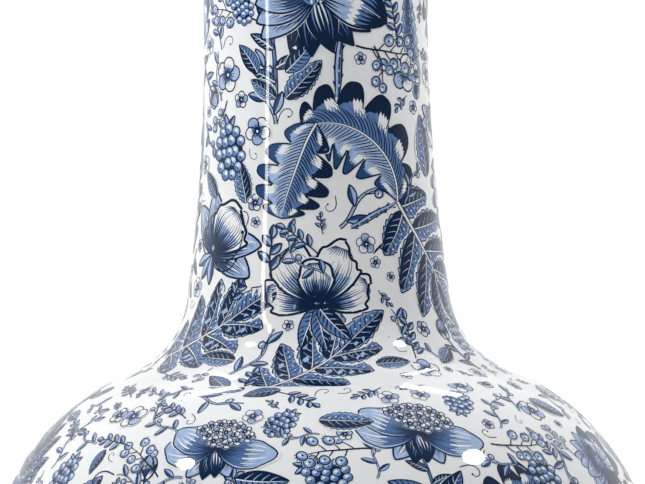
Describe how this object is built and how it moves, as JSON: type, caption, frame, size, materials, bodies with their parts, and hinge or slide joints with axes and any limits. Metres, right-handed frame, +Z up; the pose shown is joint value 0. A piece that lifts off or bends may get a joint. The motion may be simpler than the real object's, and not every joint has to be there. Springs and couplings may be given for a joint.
{
  "type": "bottle vase",
  "caption": "Tall glazed ceramic bottle vase: globular belly on a low foot ring, slightly waisted long neck with a rolled lip, blue floral print on white.",
  "frame": {"origin": "centre of the circle that the foot ring stands on, at the bottom of the vase", "axes": "+Z up the vase's axis of revolution, out of the mouth; +X and +Y are any two level directions, and -Y is the front of the printed pattern"},
  "size_m": [0.268, 0.268, 0.404],
  "materials": {
    "glazed_clay": "warm white gloss glaze",
    "biscuit_clay": "matt, fired and unglazed where it stands",
    "luting_slip": "matt fired clay slip inside the joints",
    "cobalt_print": "cobalt-blue printed decoration under the gloss glaze"
  },
  "bodies": {
    "root": {"lower_body": "glazed_clay", "upper_body": "glazed_clay", "neck": "glazed_clay", "mouth_rim": "glazed_clay", "foot_ring": "biscuit_clay", "foot_luting_slip": "luting_slip", "belly_luting_slip": "luting_slip", "collar_luting_slip": "luting_slip", "rim_luting_slip": "luting_slip"}
  },
  "joints": []
}
